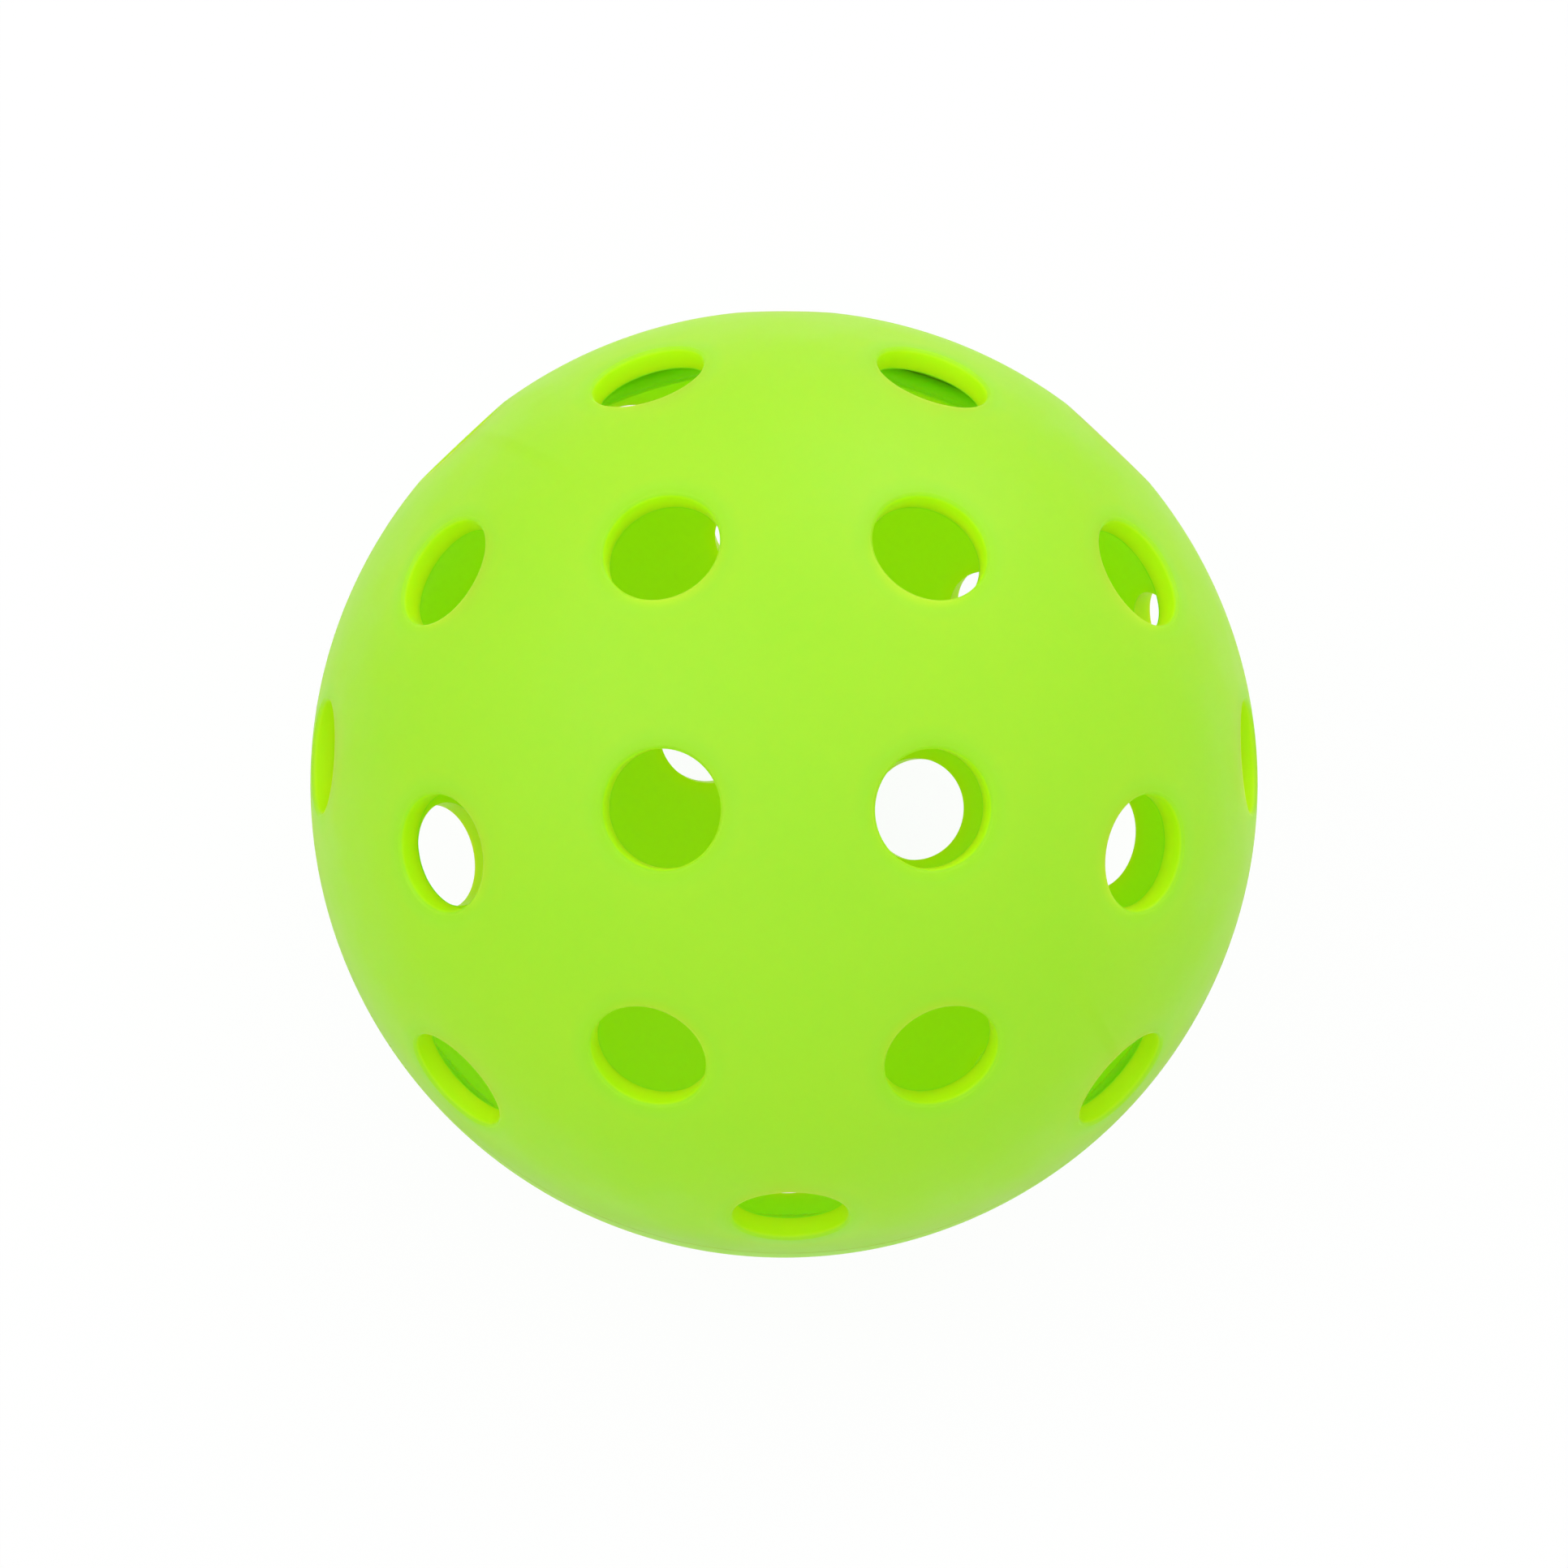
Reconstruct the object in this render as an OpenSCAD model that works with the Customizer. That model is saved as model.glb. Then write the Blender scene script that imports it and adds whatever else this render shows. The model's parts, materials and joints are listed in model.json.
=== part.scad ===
// Pickleball: a hollow perforated ball of two moulded half shells, welded together at the equator.
// The origin is the centre of the ball, and +Z runs out through the pole of the upper half.

/* [Ball] */
// Outside diameter of the ball
ball_d = 74; // [60:0.5:90]
// Wall thickness of the shell
wall = 1.8; // [1.2:0.1:2.8]

/* [Holes] */
// Diameter of every hole
hole_d = 8.65; // [6:0.05:10]
// Radius of a hole's rounded rim on the outside of the ball
rim_r = 0.4; // [0.1:0.05:0.8]
// Angle at which the rounded rim runs out into the outside of the ball, in degrees
rim_runout = 20; // [12:1:40]
// Number of holes in the ring nearest the pole
pole_ring_count = 4; // [3:1:5]
// Angle from the pole to the ring nearest it, in degrees
pole_ring_angle = 22.1; // [20:0.1:26]
// Number of holes in the middle ring
middle_ring_count = 8; // [6:1:8]
// Angle from the pole to the middle ring, in degrees
middle_ring_angle = 49.8; // [46:0.1:53]
// Number of holes in the ring nearest the weld
weld_ring_count = 8; // [6:1:8]
// Angle from the pole to the ring nearest the weld, in degrees
weld_ring_angle = 75.4; // [72:0.1:79]

/* [Weld] */
// Width of the land on which the two rims touch, at the outside of the wall
land_w = 1.1; // [0.5:0.1:1.5]
// Height of the groove behind the lands that the weld fills
weld_h = 0.8; // [0.4:0.1:1.6]
// Radius of the two lips that the weld squeezes out on the inside
lip_r = 0.5; // [0.3:0.05:0.8]
// Gap between a lip and the inside of the wall
lip_gap = 0.15; // [0.1:0.05:0.3]
// Turn of the lower half against the upper half, in degrees
lower_turn = 69; // [0:0.1:90]

/* [Hidden] */
$fn = 96;
ball_r = ball_d / 2;
inner_r = ball_r - wall;
hole_r = hole_d / 2;
// The rounding takes no more than half of the wall
rim_round = min(rim_r, wall / 2);
rim_edge_r = hole_r + rim_round;
// Distance from the ball's centre to the rounding's centre circle, along the hole
rim_z = sqrt(pow(ball_r - rim_round * cos(rim_runout), 2) - pow(rim_edge_r, 2));
// How far a cut runs past the wall on either side
past = wall;
// A ring whose first hole is turned half a pitch, so that the rings are staggered
pole_ring_start = 180 / pole_ring_count;
middle_ring_start = 180 / middle_ring_count;
weld_ring_start = 0;
// The meridian where each surface of revolution starts, between the holes
start_meridian = 90 / middle_ring_count;
// The lands leave at least a quarter of the wall to the groove
groove_r = ball_r - min(land_w, wall * 3 / 4);
lip_x = inner_r - lip_gap - lip_r;
shell_colour = [0.68, 0.92, 0.24];
weld_colour = [0.60, 0.85, 0.14];

// One hole's cut along +Z: a straight bore that opens into the rounded rim
module hole_cut() {
    rotate_extrude()
        difference() {
            translate([0, inner_r - past])
                square([rim_edge_r, wall + 2 * past]);
            translate([hole_r, inner_r - 2 * past])
                square([wall + hole_r, rim_z - inner_r + 2 * past]);
            translate([rim_edge_r, rim_z])
                circle(r = rim_round);
        }
}

// A ring of holes round the pole, each pointing out from the ball's centre
module hole_ring(count, angle, start) {
    for (i = [0 : count - 1])
        rotate([0, angle, start + i * 360 / count])
            hole_cut();
}

// One moulding: both halves come from the same mould
module half_shell() {
    difference() {
        rotate([0, 0, start_meridian])
            difference() {
                sphere(r = ball_r);
                sphere(r = inner_r);
                translate([-ball_d, -ball_d, -2 * ball_d])
                    cube(2 * ball_d);
                translate([0, 0, -past])
                    cylinder(r = groove_r, h = past + weld_h / 2);
            }
        hole_ring(pole_ring_count, pole_ring_angle, pole_ring_start);
        hole_ring(middle_ring_count, middle_ring_angle, middle_ring_start);
        hole_ring(weld_ring_count, weld_ring_angle, weld_ring_start);
    }
}

module upper_half_shell() {
    color(shell_colour)
        half_shell();
}

module lower_half_shell() {
    color(shell_colour)
        rotate([180, 0, lower_turn])
            half_shell();
}

// The ring of melted plastic that fills the groove between the rims, with a pair of rolled lips inside
module weld_bead() {
    color(weld_colour)
        rotate([0, 0, start_meridian])
            rotate_extrude() {
                translate([lip_x, -weld_h / 2])
                    square([groove_r - lip_x, weld_h]);
                for (side = [-1, 1])
                    translate([lip_x, side * weld_h / 2])
                        circle(r = lip_r);
            }
}

upper_half_shell();
lower_half_shell();
weld_bead();
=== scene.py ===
"""A perforated pickleball of two welded half shells, on a pale studio floor."""
import json
import math

import bpy
from mathutils import Matrix, Vector


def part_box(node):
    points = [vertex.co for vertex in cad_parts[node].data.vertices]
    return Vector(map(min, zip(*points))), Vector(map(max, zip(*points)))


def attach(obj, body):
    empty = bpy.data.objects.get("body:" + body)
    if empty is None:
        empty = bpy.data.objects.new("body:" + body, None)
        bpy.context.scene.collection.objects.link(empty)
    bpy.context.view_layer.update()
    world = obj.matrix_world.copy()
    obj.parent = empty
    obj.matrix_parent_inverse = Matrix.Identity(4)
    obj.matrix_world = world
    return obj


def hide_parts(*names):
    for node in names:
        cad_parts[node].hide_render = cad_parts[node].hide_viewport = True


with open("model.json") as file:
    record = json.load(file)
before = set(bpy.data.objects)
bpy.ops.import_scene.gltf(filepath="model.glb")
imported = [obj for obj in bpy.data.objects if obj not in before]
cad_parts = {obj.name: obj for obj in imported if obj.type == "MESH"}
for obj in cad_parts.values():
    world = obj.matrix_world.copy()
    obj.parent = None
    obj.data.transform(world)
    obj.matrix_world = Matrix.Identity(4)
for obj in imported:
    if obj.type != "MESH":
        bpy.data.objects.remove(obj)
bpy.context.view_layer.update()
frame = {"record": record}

MM = 0.001

# Sizes of the ball, from the frame
BALL_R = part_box("upper_half_shell")[1].z
BEAD_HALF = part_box("weld_bead")[1].z
GROOVE_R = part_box("weld_bead")[1].x
BORES = [mount for mount in frame["record"]["mounts"] if mount["kind"] == "bore"]
UPPER_AXES = [Vector(bore["axis"]) for bore in BORES if bore["name"].startswith("upper_")]
LOWER_AXES = [Vector(bore["axis"]) for bore in BORES if bore["name"].startswith("lower_")]
HOLE_R = BORES[0]["dims"]["r_mm"] * MM

# Sizes that the frame does not hold
WALL = 1.8 * MM
RIM_R = 0.4 * MM
RIM_RUNOUT = math.radians(20)
WELD_HALF = 0.4 * MM      # half the height of the groove that the weld fills
LIP_GAP = 0.15 * MM       # between a lip's roll and the lining
LIP_REST = 0.03 * MM      # what is left of that gap where a lip lies against the lining
LIP_ROLL = 60             # where a lip's roll begins, in degrees up from the side by the lining
TRIM = 0.06 * MM          # the edge broken off along the seam
PAST = 2 * MM             # how far a cutting tool runs past what it cuts
INNER_R = BALL_R - WALL
RIM_EDGE_R = HOLE_R + RIM_R
RIM_Z = math.sqrt((BALL_R - RIM_R * math.cos(RIM_RUNOUT)) ** 2 - RIM_EDGE_R ** 2)
LIP_R = BEAD_HALF - WELD_HALF
LIP_X = INNER_R - LIP_GAP - LIP_R

# Fineness of the meshes
SKIN_LEVEL = 7
LINING_LEVEL = 6
HOLE_STEPS = 96
RIM_STEPS = 8
LIP_STEPS = 24
WELD_STEPS = 360
MERGE_DISTANCE = 1e-7
SKIN_TOLERANCE = 0.01 * MM        # how far a point of the skin may lie inside the ball's radius
SHARP_ANGLE = math.radians(40)    # edges that turn more than this stay sharp

# Colours of the plastic, as shares of red, green and blue
LIME_DEEP = (0.36, 0.976, 0.0085)
LIME_PALE = (0.39, 0.98, 0.0095)
LIME_SPECK = (0.40, 0.982, 0.01)
LIME_RIM = (0.315, 0.974, 0.012)
LIME_LINING = (0.375, 0.982, 0.0016)
# Hole walls, outer and inner edge, painted paler and yellower: a painted glow against the shade the walls
# lie in
HOLE_WALL_OUTER = (0.5, 0.98, 0.0015)
HOLE_WALL_INNER = (0.76, 0.998, 0.0025)
# The weld's colours are painted far paler than the shells': painted light against the shade inside the
# ball. The mottle between them is the plastic's own
WELD_DEEP = (0.84, 0.993, 0.0025)
WELD_PALE = (0.88, 0.995, 0.003)
SPECK_SHARE = 0.35

# Patterns in the plastic, in repeats per metre
CLOUDS = 70
SPECKS = 900
SHEEN = 240
SATIN_GRAIN = 2600
WELD_MOTTLE = 500
WELD_SHEEN = 900

# Finish of the plastic
SKIN_ROUGHNESS = (0.48, 0.55)
WELD_ROUGHNESS = (0.48, 0.60)
SKIN_GLOSS = 0.4
RIM_GLOSS = 0.2
PLASTIC_IOR = 1.5
SATIN_RELIEF = (0.12, 0.02 * MM)    # strength and depth
WELD_RELIEF = (0.3, 0.04 * MM)

# Nearness to a hole, from 1 on its wall to 0 over the fade's width, and where each change comes in
RIM_FADE = 2 * MM
ON_HOLE_WALL = (0.95, 1)
RIM_COLOURED = (0.1, 0.85)
RIM_DULLED = (0.5, 1)

# How far light goes into the plastic
LIGHT_REACH = (10.5, 14, 3)     # for red, green and blue, as multiples of the reaches below
SHELL_REACH = MM
SEAM_REACH = 0.1 * MM           # in the skin along the seam, where the two halves only touch
SEAM_BAND = (1 * MM, 4 * MM)    # the heights between which the seam's reach gives way to the shell's
HOLE_WALL_REACH = 0.3           # as a share of the shell's
HOLE_WALL_FULL = 0.6            # how far onto a hole's wall, of 1, that share is reached
WELD_REACH = 0.2 * MM

# Places in the wall, as radii from the ball's centre
LINING_EDGE_R = INNER_R + 0.1 * MM    # where a hole's wall takes over from the lining
SKIN_SIDE = (INNER_R + 0.4 * MM, BALL_R - 0.4 * MM)    # between these the lining gives way to the skin

# The photograph's view: the pole leans up and a little to the right
PICTURE_SHARE = 0.6042    # the ball's width in the picture's
CAMERA_DISTANCE = 402 * MM
POLE_UP = math.radians(13.08)
POLE_RIGHT = math.radians(1.58)
SENSOR = 36.0

# The studio
FLOOR_SIZE = 6
FLOOR_GREY = 0.92
FLOOR_WHITE_SHARE = 0.94    # the share of plain white in what is seen of the floor
SIDE_LIGHT = 0.66
OVERHEAD_LIGHT = 1.15
SOFTBOX_SIZE = 0.5
SOFTBOX_DISTANCE = 0.9
LEFT_WAY = (-0.63, 0.19, 0.75)
LEFT_POWER = 1.0
RIGHT_WAY = (0.37, 0.84, 0.40)
RIGHT_POWER = 1.5
BOUNCES = 12                # enough for the light inside the ball


# Modelling helpers

def only(piece):
    """Make one piece the active and only selected object."""
    bpy.ops.object.select_all(action="DESELECT")
    piece.select_set(True)
    bpy.context.view_layer.objects.active = piece


def spun(name, profile, steps):
    """A closed solid of revolution: the (radius, height) points of a profile, spun round Z."""
    bpy.ops.object.select_all(action="DESELECT")
    bpy.ops.mesh.primitive_plane_add(size=MM, enter_editmode=True)
    bpy.ops.mesh.merge(type="CENTER")
    start = profile[0]
    bpy.ops.transform.translate(value=(start[0], 0, start[1]))
    for (r0, z0), (r1, z1) in zip(profile, profile[1:]):
        bpy.ops.mesh.extrude_region_move(TRANSFORM_OT_translate={"value": (r1 - r0, 0, z1 - z0)})
    bpy.ops.mesh.select_all(action="SELECT")
    bpy.ops.mesh.spin(steps=steps, angle=2 * math.pi, center=(0, 0, 0), axis=(0, 0, 1))
    bpy.ops.mesh.select_all(action="SELECT")
    bpy.ops.mesh.remove_doubles(threshold=MERGE_DISTANCE)
    bpy.ops.mesh.normals_make_consistent(inside=False)
    bpy.ops.object.mode_set(mode="OBJECT")
    piece = bpy.context.object
    piece.name = name
    return piece


def cut_away(piece, tool):
    """Take a tool's shape out of a piece, and put the tool away."""
    only(piece)
    cut = piece.modifiers.new("cut", "BOOLEAN")
    cut.operation = "DIFFERENCE"
    cut.object = tool
    cut.solver = "MANIFOLD"
    bpy.ops.object.modifier_apply(modifier=cut.name)
    bpy.data.objects.remove(tool)


def arc(centre, radius, first, last, steps):
    """Points of a circular arc in the (radius, height) plane, with its angles in degrees."""
    turns = [math.radians(first + (last - first) * i / steps) for i in range(steps + 1)]
    return [(centre[0] + radius * math.cos(t), centre[1] + radius * math.sin(t)) for t in turns]


# The ball's pieces

def hole_tool(axes):
    """The cutting tool for a half shell's holes: straight bores that open into rounded rims."""
    rounding = arc((RIM_EDGE_R, RIM_Z), RIM_R, 180, 90, RIM_STEPS)
    inside, outside = INNER_R - PAST, BALL_R + PAST
    profile = [(0, inside), (HOLE_R, inside)] + rounding + [(RIM_EDGE_R, outside), (0, outside)]
    first = spun("hole_tool", profile, HOLE_STEPS)
    tools = [first]
    for _ in axes[1:]:
        tool = first.copy()
        tool.data = first.data.copy()
        bpy.context.scene.collection.objects.link(tool)
        tools.append(tool)
    bpy.ops.object.select_all(action="DESELECT")
    for tool, axis in zip(tools, axes):
        tool.matrix_world = axis.to_track_quat("Z", "Y").to_matrix().to_4x4()
        tool.select_set(True)
    bpy.context.view_layer.objects.active = first
    bpy.ops.object.transform_apply(location=True, rotation=True, scale=True)
    bpy.ops.object.join()
    return first


def parting_tool():
    """The cutting tool that leaves one half of the ball: a rim with a broken edge, a land and a groove."""
    low, wide = -BALL_R - PAST, BALL_R + PAST
    outer = [(0, low), (wide, low), (wide, TRIM + PAST), (BALL_R - TRIM, 0)]
    inner = [(GROOVE_R, 0), (GROOVE_R, WELD_HALF), (0, WELD_HALF)]
    return spun("parting_tool", outer + inner, WELD_STEPS)


def half_shell():
    """One moulding, with its holes: the upper half, in its place."""
    bpy.ops.object.select_all(action="DESELECT")
    bpy.ops.mesh.primitive_ico_sphere_add(subdivisions=SKIN_LEVEL, radius=BALL_R)
    shell = bpy.context.object
    bpy.ops.mesh.primitive_ico_sphere_add(subdivisions=LINING_LEVEL, radius=INNER_R)
    cut_away(shell, bpy.context.object)
    cut_away(shell, parting_tool())
    cut_away(shell, hole_tool(UPPER_AXES))
    return shell


def smooth_skin(shell):
    """Shade a half shell smooth, with the skin's normals straight out from the ball's centre."""
    only(shell)
    bpy.ops.object.shade_smooth_by_angle(angle=SHARP_ANGLE)
    mesh = shell.data
    normals = [corner.vector.copy() for corner in mesh.corner_normals]
    for loop in mesh.loops:
        point = mesh.vertices[loop.vertex_index].co
        if point.length > BALL_R - SKIN_TOLERANCE and point.z > 2 * TRIM:
            normals[loop.index] = point.normalized()
    mesh.normals_split_custom_set(normals)


def turned_over(shell):
    """The second moulding: a copy turned over about X, then turned about Z to where the frame has it."""
    copy = shell.copy()
    copy.data = shell.data.copy()
    bpy.context.scene.collection.objects.link(copy)
    first_upper, first_lower = UPPER_AXES[0], LOWER_AXES[0]
    turn = math.atan2(first_lower.y, first_lower.x) - math.atan2(-first_upper.y, first_upper.x)
    only(copy)
    copy.matrix_world = Matrix.Rotation(turn, 4, "Z") @ Matrix.Rotation(math.pi, 4, "X")
    bpy.ops.object.transform_apply(location=True, rotation=True, scale=True)
    return copy


def paint_rims(shell, axes):
    """Give each point of a half shell its nearness to a hole."""
    rim = shell.data.attributes.new("rim", "FLOAT", "POINT")
    for v in shell.data.vertices:
        nearest = max(axes, key=v.co.dot)
        past_edge = v.co.cross(nearest).length - HOLE_R
        rim.data[v.index].value = max(0.0, min(1.0, 1 - past_edge / RIM_FADE))


def weld_bead():
    """The melted ring in the groove between the rims, with the two rolled lips that it leaves inside."""
    lip_half = math.degrees(math.asin(WELD_HALF / LIP_R))
    outside = [(GROOVE_R, -WELD_HALF), (GROOVE_R, WELD_HALF)]
    roll = arc((LIP_X, WELD_HALF), LIP_R, LIP_ROLL, 180 + lip_half, LIP_STEPS)
    resting = [(math.sqrt(INNER_R ** 2 - z ** 2) - LIP_REST, z) for z in (WELD_HALF, roll[0][1])]
    upper_lip = resting + roll
    lower_lip = [(r, -z) for r, z in reversed(upper_lip[:-1])]
    profile = outside + upper_lip + lower_lip
    bead = spun("weld", profile + profile[:1], WELD_STEPS)
    only(bead)
    bpy.ops.object.shade_smooth_by_angle(angle=SHARP_ANGLE)
    return bead


# Shading helpers

def graph(material):
    """A material's node tree and its surface shader."""
    material.use_nodes = True
    tree = material.node_tree
    return tree, tree.nodes["Principled BSDF"]


def place(tree):
    """The piece's own coordinates."""
    return tree.nodes.new("ShaderNodeTexCoord").outputs["Object"]


def noise(tree, scale, detail, roughness=0.5):
    """Noise over the piece's own coordinates, in repeats per metre."""
    node = tree.nodes.new("ShaderNodeTexNoise")
    node.inputs["Scale"].default_value = scale
    node.inputs["Detail"].default_value = detail
    node.inputs["Roughness"].default_value = roughness
    tree.links.new(place(tree), node.inputs["Vector"])
    return node.outputs["Fac"]


def from_seam(tree):
    """The height of a point above or below the seam."""
    parts = tree.nodes.new("ShaderNodeSeparateXYZ")
    tree.links.new(place(tree), parts.inputs["Vector"])
    height = tree.nodes.new("ShaderNodeMath")
    height.operation = "ABSOLUTE"
    tree.links.new(parts.outputs["Z"], height.inputs[0])
    return height.outputs["Value"]


def from_centre(tree):
    """The distance of a point from the ball's centre."""
    radius = tree.nodes.new("ShaderNodeVectorMath")
    radius.operation = "LENGTH"
    tree.links.new(place(tree), radius.inputs[0])
    return radius.outputs["Value"]


def times(tree, first, second):
    """The product of two values."""
    node = tree.nodes.new("ShaderNodeMath")
    node.operation = "MULTIPLY"
    tree.links.new(first, node.inputs[0])
    tree.links.new(second, node.inputs[1])
    return node.outputs["Value"]


def spread(tree, value, low, high, start=0.3, end=0.7):
    """A value that goes from low at start to high at end. Noise lies mostly between 0.3 and 0.7."""
    node = tree.nodes.new("ShaderNodeMapRange")
    tree.links.new(value, node.inputs["Value"])
    node.inputs["From Min"].default_value = start
    node.inputs["From Max"].default_value = end
    node.inputs["To Min"].default_value = low
    node.inputs["To Max"].default_value = high
    return node.outputs["Result"]


def blend(tree, share, first, second):
    """A colour between two others, each a colour or a socket."""
    node = tree.nodes.new("ShaderNodeMix")
    node.data_type = "RGBA"
    tree.links.new(share, node.inputs["Factor"])
    for name, colour in (("A", first), ("B", second)):
        socket = next(s for s in node.inputs if s.name == name and s.type == "RGBA")
        if isinstance(colour, tuple):
            socket.default_value = (*colour, 1)
        else:
            tree.links.new(colour, socket)
    return next(s for s in node.outputs if s.type == "RGBA")


def relief(tree, shader, height, strength, depth):
    """Give the surface a fine relief."""
    bump = tree.nodes.new("ShaderNodeBump")
    bump.inputs["Strength"].default_value = strength
    bump.inputs["Distance"].default_value = depth
    tree.links.new(height, bump.inputs["Height"])
    tree.links.new(bump.outputs["Normal"], shader.inputs["Normal"])


def translucent(shader, reach):
    """Let light some way into the plastic."""
    shader.subsurface_method = "RANDOM_WALK"
    shader.inputs["Subsurface Weight"].default_value = 1.0
    shader.inputs["Subsurface Radius"].default_value = LIGHT_REACH
    shader.inputs["Subsurface Scale"].default_value = reach
    shader.inputs["IOR"].default_value = PLASTIC_IOR


# The plastics

def lime_plastic():
    """Translucent moulded plastic: clouded satin skin, greener rims, plain lining, and hole walls painted
    paler and yellower towards the inside, a painted glow.
    """
    material = bpy.data.materials.new("lime_plastic")
    tree, shader = graph(material)
    rim = tree.nodes.new("ShaderNodeAttribute")
    rim.attribute_name = "rim"
    nearness = rim.outputs["Fac"]
    radius = from_centre(tree)

    clouds = spread(tree, noise(tree, CLOUDS, detail=3), 0, 1)
    specks = spread(tree, noise(tree, SPECKS, detail=2), 0, SPECK_SHARE)
    clouded = blend(tree, clouds, LIME_DEEP, LIME_PALE)
    specked = blend(tree, specks, clouded, LIME_SPECK)
    rimmed = blend(tree, spread(tree, nearness, 0, 1, *RIM_COLOURED), specked, LIME_RIM)
    off_lining = spread(tree, radius, 0, 1, INNER_R, LINING_EDGE_R)
    lined = blend(tree, off_lining, LIME_LINING, rimmed)
    on_wall = times(tree, spread(tree, nearness, 0, 1, *ON_HOLE_WALL), off_lining)
    # Painted glow on the hole walls, palest at the inner edge, where the wall lies in shade
    depth = spread(tree, radius, 1, 0, LINING_EDGE_R, BALL_R - RIM_R)
    hole_wall = blend(tree, depth, HOLE_WALL_OUTER, HOLE_WALL_INNER)
    tree.links.new(blend(tree, on_wall, lined, hole_wall), shader.inputs["Base Color"])

    sheen = spread(tree, noise(tree, SHEEN, detail=3), *SKIN_ROUGHNESS)
    tree.links.new(sheen, shader.inputs["Roughness"])
    gloss = spread(tree, nearness, SKIN_GLOSS, RIM_GLOSS, *RIM_DULLED)
    tree.links.new(gloss, shader.inputs["Specular IOR Level"])
    relief(tree, shader, noise(tree, SATIN_GRAIN, detail=2), *SATIN_RELIEF)

    translucent(shader, SHELL_REACH)
    near_seam = spread(tree, from_seam(tree), 1, 0, *SEAM_BAND)
    on_skin = spread(tree, radius, 0, 1, *SKIN_SIDE)
    shell_reach = spread(tree, times(tree, near_seam, on_skin), SHELL_REACH, SEAM_REACH, 0, 1)
    wall_share = spread(tree, on_wall, 1, HOLE_WALL_REACH, 0, HOLE_WALL_FULL)
    tree.links.new(times(tree, shell_reach, wall_share), shader.inputs["Subsurface Scale"])
    return material


def weld_plastic():
    """The same plastic after melting, rougher and mottled, its colour painted pale yellow: painted light
    against the shade the bead lies in inside the ball.
    """
    material = bpy.data.materials.new("weld_plastic")
    tree, shader = graph(material)
    mottle = spread(tree, noise(tree, WELD_MOTTLE, detail=4, roughness=0.6), 0, 1)
    # Painted light: the bead's mottled colour is lightened against the shade it lies in
    tree.links.new(blend(tree, mottle, WELD_DEEP, WELD_PALE), shader.inputs["Base Color"])
    sheen = spread(tree, noise(tree, WELD_SHEEN, detail=3), *WELD_ROUGHNESS)
    tree.links.new(sheen, shader.inputs["Roughness"])
    relief(tree, shader, mottle, *WELD_RELIEF)
    translucent(shader, WELD_REACH)
    return material


# The studio's pieces

def seen_rays(tree):
    """1 for the rays that show the background as it is: from the camera, in gloss and through glass."""
    path = tree.nodes.new("ShaderNodeLightPath")
    total = path.outputs["Is Camera Ray"]
    for name in ("Is Glossy Ray", "Is Transmission Ray"):
        either = tree.nodes.new("ShaderNodeMath")
        either.operation = "MAXIMUM"
        tree.links.new(total, either.inputs[0])
        tree.links.new(path.outputs[name], either.inputs[1])
        total = either.outputs["Value"]
    return total


def floor():
    """A wide pale floor under the ball that shows as white and keeps a faint shadow."""
    bpy.ops.object.select_all(action="DESELECT")
    bpy.ops.mesh.primitive_plane_add(size=FLOOR_SIZE, location=(0, 0, -BALL_R))
    plane = bpy.context.object
    plane.name = "studio_floor"
    bpy.ops.object.transform_apply(location=True, rotation=True, scale=True)
    material = bpy.data.materials.new("pale_floor")
    material.use_nodes = True
    tree = material.node_tree
    tree.nodes.clear()
    output = tree.nodes.new("ShaderNodeOutputMaterial")
    mix = tree.nodes.new("ShaderNodeMixShader")
    matt = tree.nodes.new("ShaderNodeBsdfDiffuse")
    matt.inputs["Color"].default_value = (FLOOR_GREY, FLOOR_GREY, FLOOR_GREY, 1)
    glow = tree.nodes.new("ShaderNodeEmission")
    glow.inputs["Color"].default_value = (1, 1, 1, 1)
    glow.inputs["Strength"].default_value = 1.0
    share = tree.nodes.new("ShaderNodeMath")
    share.operation = "MULTIPLY"
    share.inputs[1].default_value = FLOOR_WHITE_SHARE
    tree.links.new(seen_rays(tree), share.inputs[0])
    tree.links.new(share.outputs["Value"], mix.inputs["Fac"])
    tree.links.new(matt.outputs["BSDF"], mix.inputs[1])
    tree.links.new(glow.outputs["Emission"], mix.inputs[2])
    tree.links.new(mix.outputs["Shader"], output.inputs["Surface"])
    plane.data.materials.append(material)
    plane.visible_diffuse = False
    plane.visible_shadow = False


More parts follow.
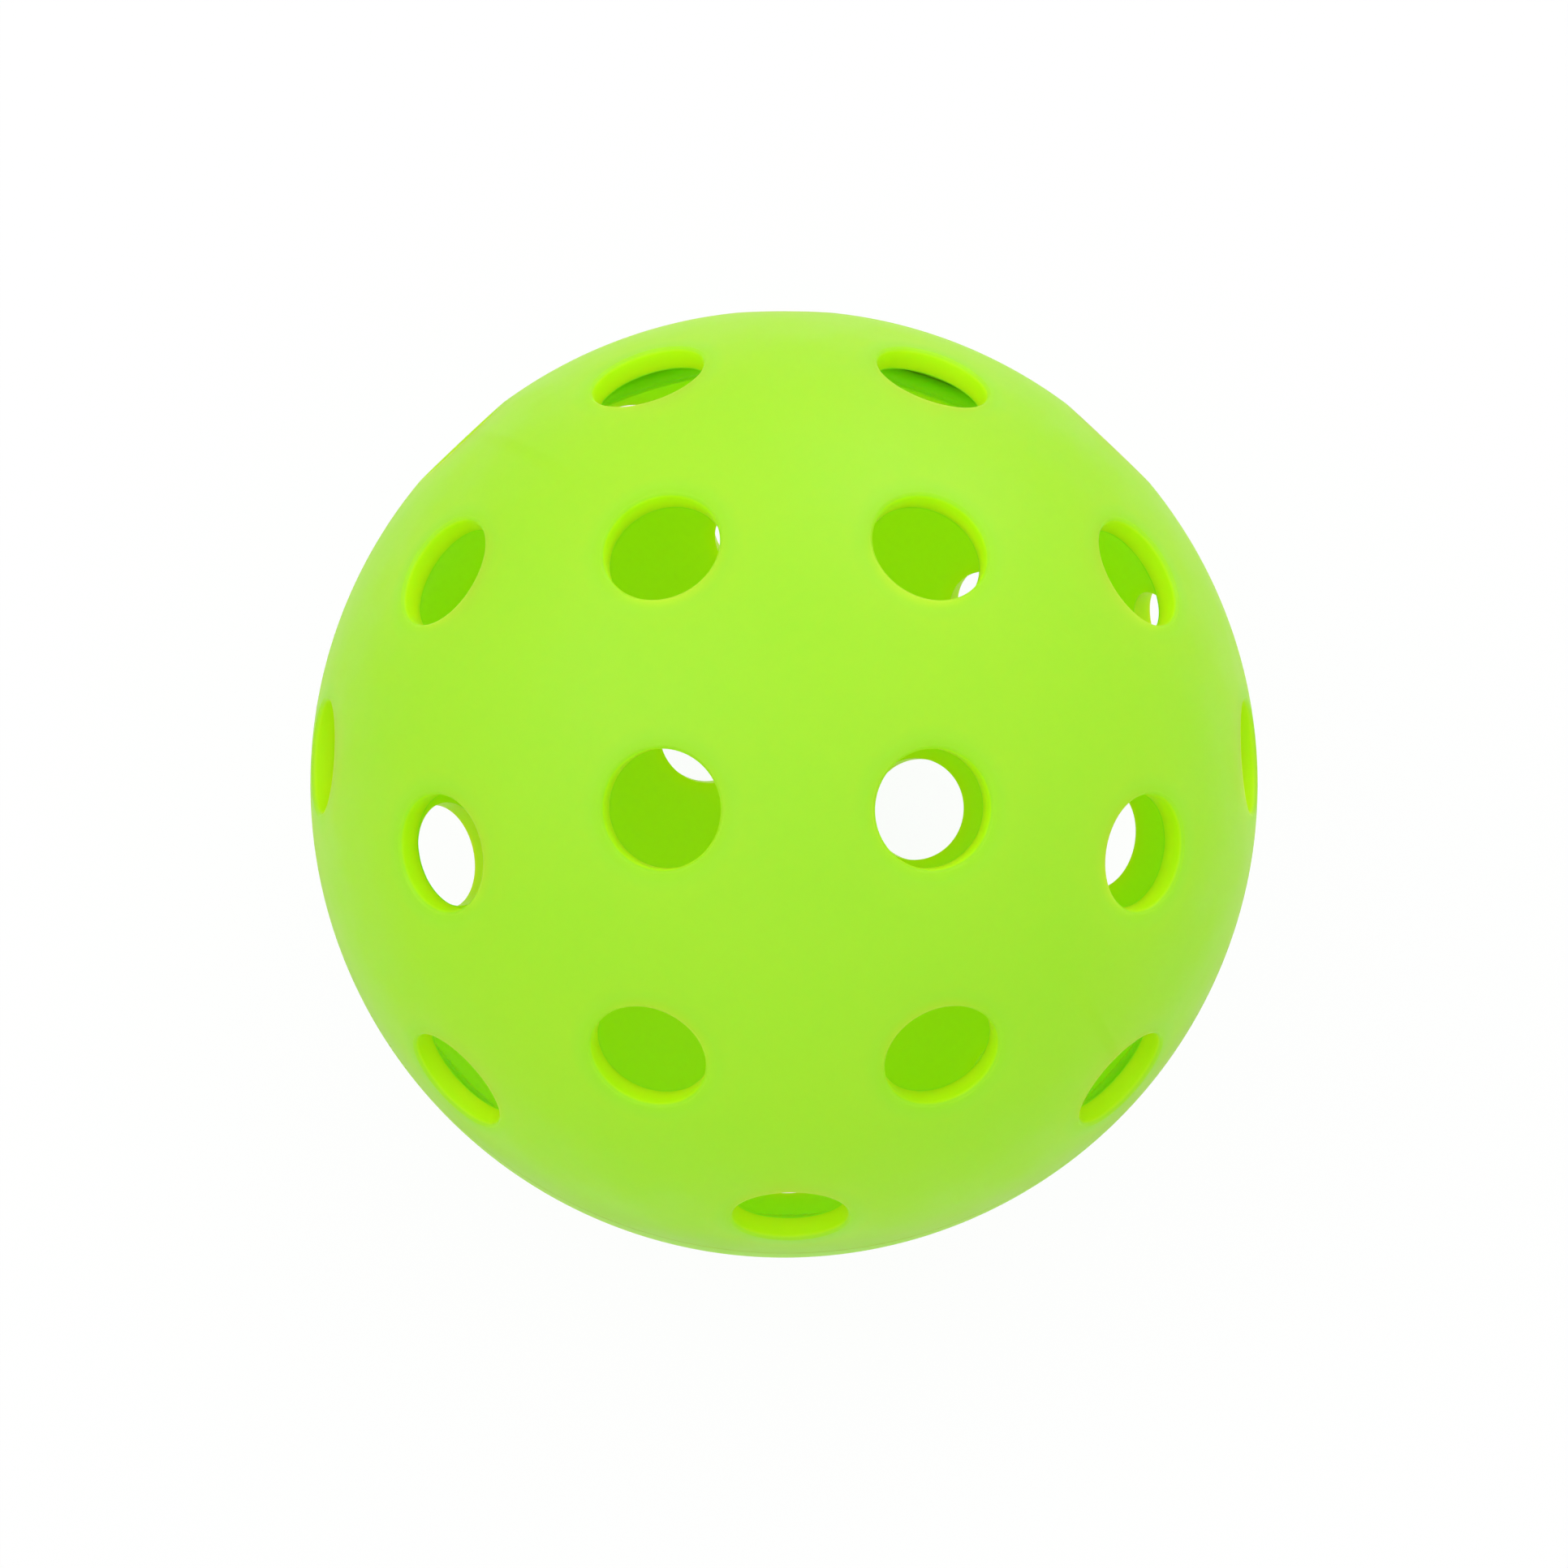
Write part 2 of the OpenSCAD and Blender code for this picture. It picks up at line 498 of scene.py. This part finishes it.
def surround():
    """Soft light from all round, stronger overhead."""
    world = bpy.data.worlds.new("studio")
    bpy.context.scene.world = world
    world.use_nodes = True
    tree = world.node_tree
    background = tree.nodes["Background"]
    background.inputs["Color"].default_value = (1, 1, 1, 1)
    way = tree.nodes.new("ShaderNodeTexCoord")
    parts = tree.nodes.new("ShaderNodeSeparateXYZ")
    tree.links.new(way.outputs["Generated"], parts.inputs["Vector"])
    strength = spread(tree, parts.outputs["Z"], SIDE_LIGHT, OVERHEAD_LIGHT, 0, 1)
    tree.links.new(strength, background.inputs["Strength"])


def softbox(name, way, power):
    """A square soft lamp that faces the ball."""
    bpy.ops.object.light_add(type="AREA")
    lamp = bpy.context.object
    lamp.name = name
    lamp.data.shape = "SQUARE"
    lamp.data.size = SOFTBOX_SIZE
    lamp.data.energy = power
    back = Vector(way).normalized()
    facing = back.to_track_quat("Z", "Y").to_matrix().to_4x4()
    lamp.matrix_world = Matrix.Translation(back * SOFTBOX_DISTANCE) @ facing


def camera():
    """A camera in the photograph's place, with the lens that gives the ball its share of the picture."""
    bpy.ops.object.camera_add()
    eye = bpy.context.object
    lean = Matrix.Rotation(POLE_UP, 4, "X") @ Matrix.Rotation(-POLE_RIGHT, 4, "Y")
    eye.matrix_world = lean @ Matrix.Translation((0, 0, CAMERA_DISTANCE))
    far = CAMERA_DISTANCE / BALL_R
    eye.data.sensor_width = SENSOR
    eye.data.lens = SENSOR * PICTURE_SHARE / 2 * math.sqrt(far ** 2 - 1)
    eye.data.clip_start = MM
    bpy.context.scene.camera = eye


# The ball

upper = half_shell()
upper.name = "upper_shell"
smooth_skin(upper)
lower = turned_over(upper)
lower.name = "lower_shell"
paint_rims(upper, UPPER_AXES)
paint_rims(lower, LOWER_AXES)

lime = lime_plastic()
for piece, node, slot, material in (
    (upper, "upper_half_shell", "shell", lime),
    (lower, "lower_half_shell", "shell", lime),
    (weld_bead(), "weld_bead", "weld", weld_plastic()),
):
    piece.data.materials.clear()
    piece.data.materials.append(material)
    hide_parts(node)
    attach(piece, "root")

# The picture

floor()
surround()
softbox("left_softbox", LEFT_WAY, LEFT_POWER)
softbox("right_softbox", RIGHT_WAY, RIGHT_POWER)
camera()
bpy.context.scene.cycles.diffuse_bounces = BOUNCES
bpy.context.scene.view_settings.view_transform = "Standard"
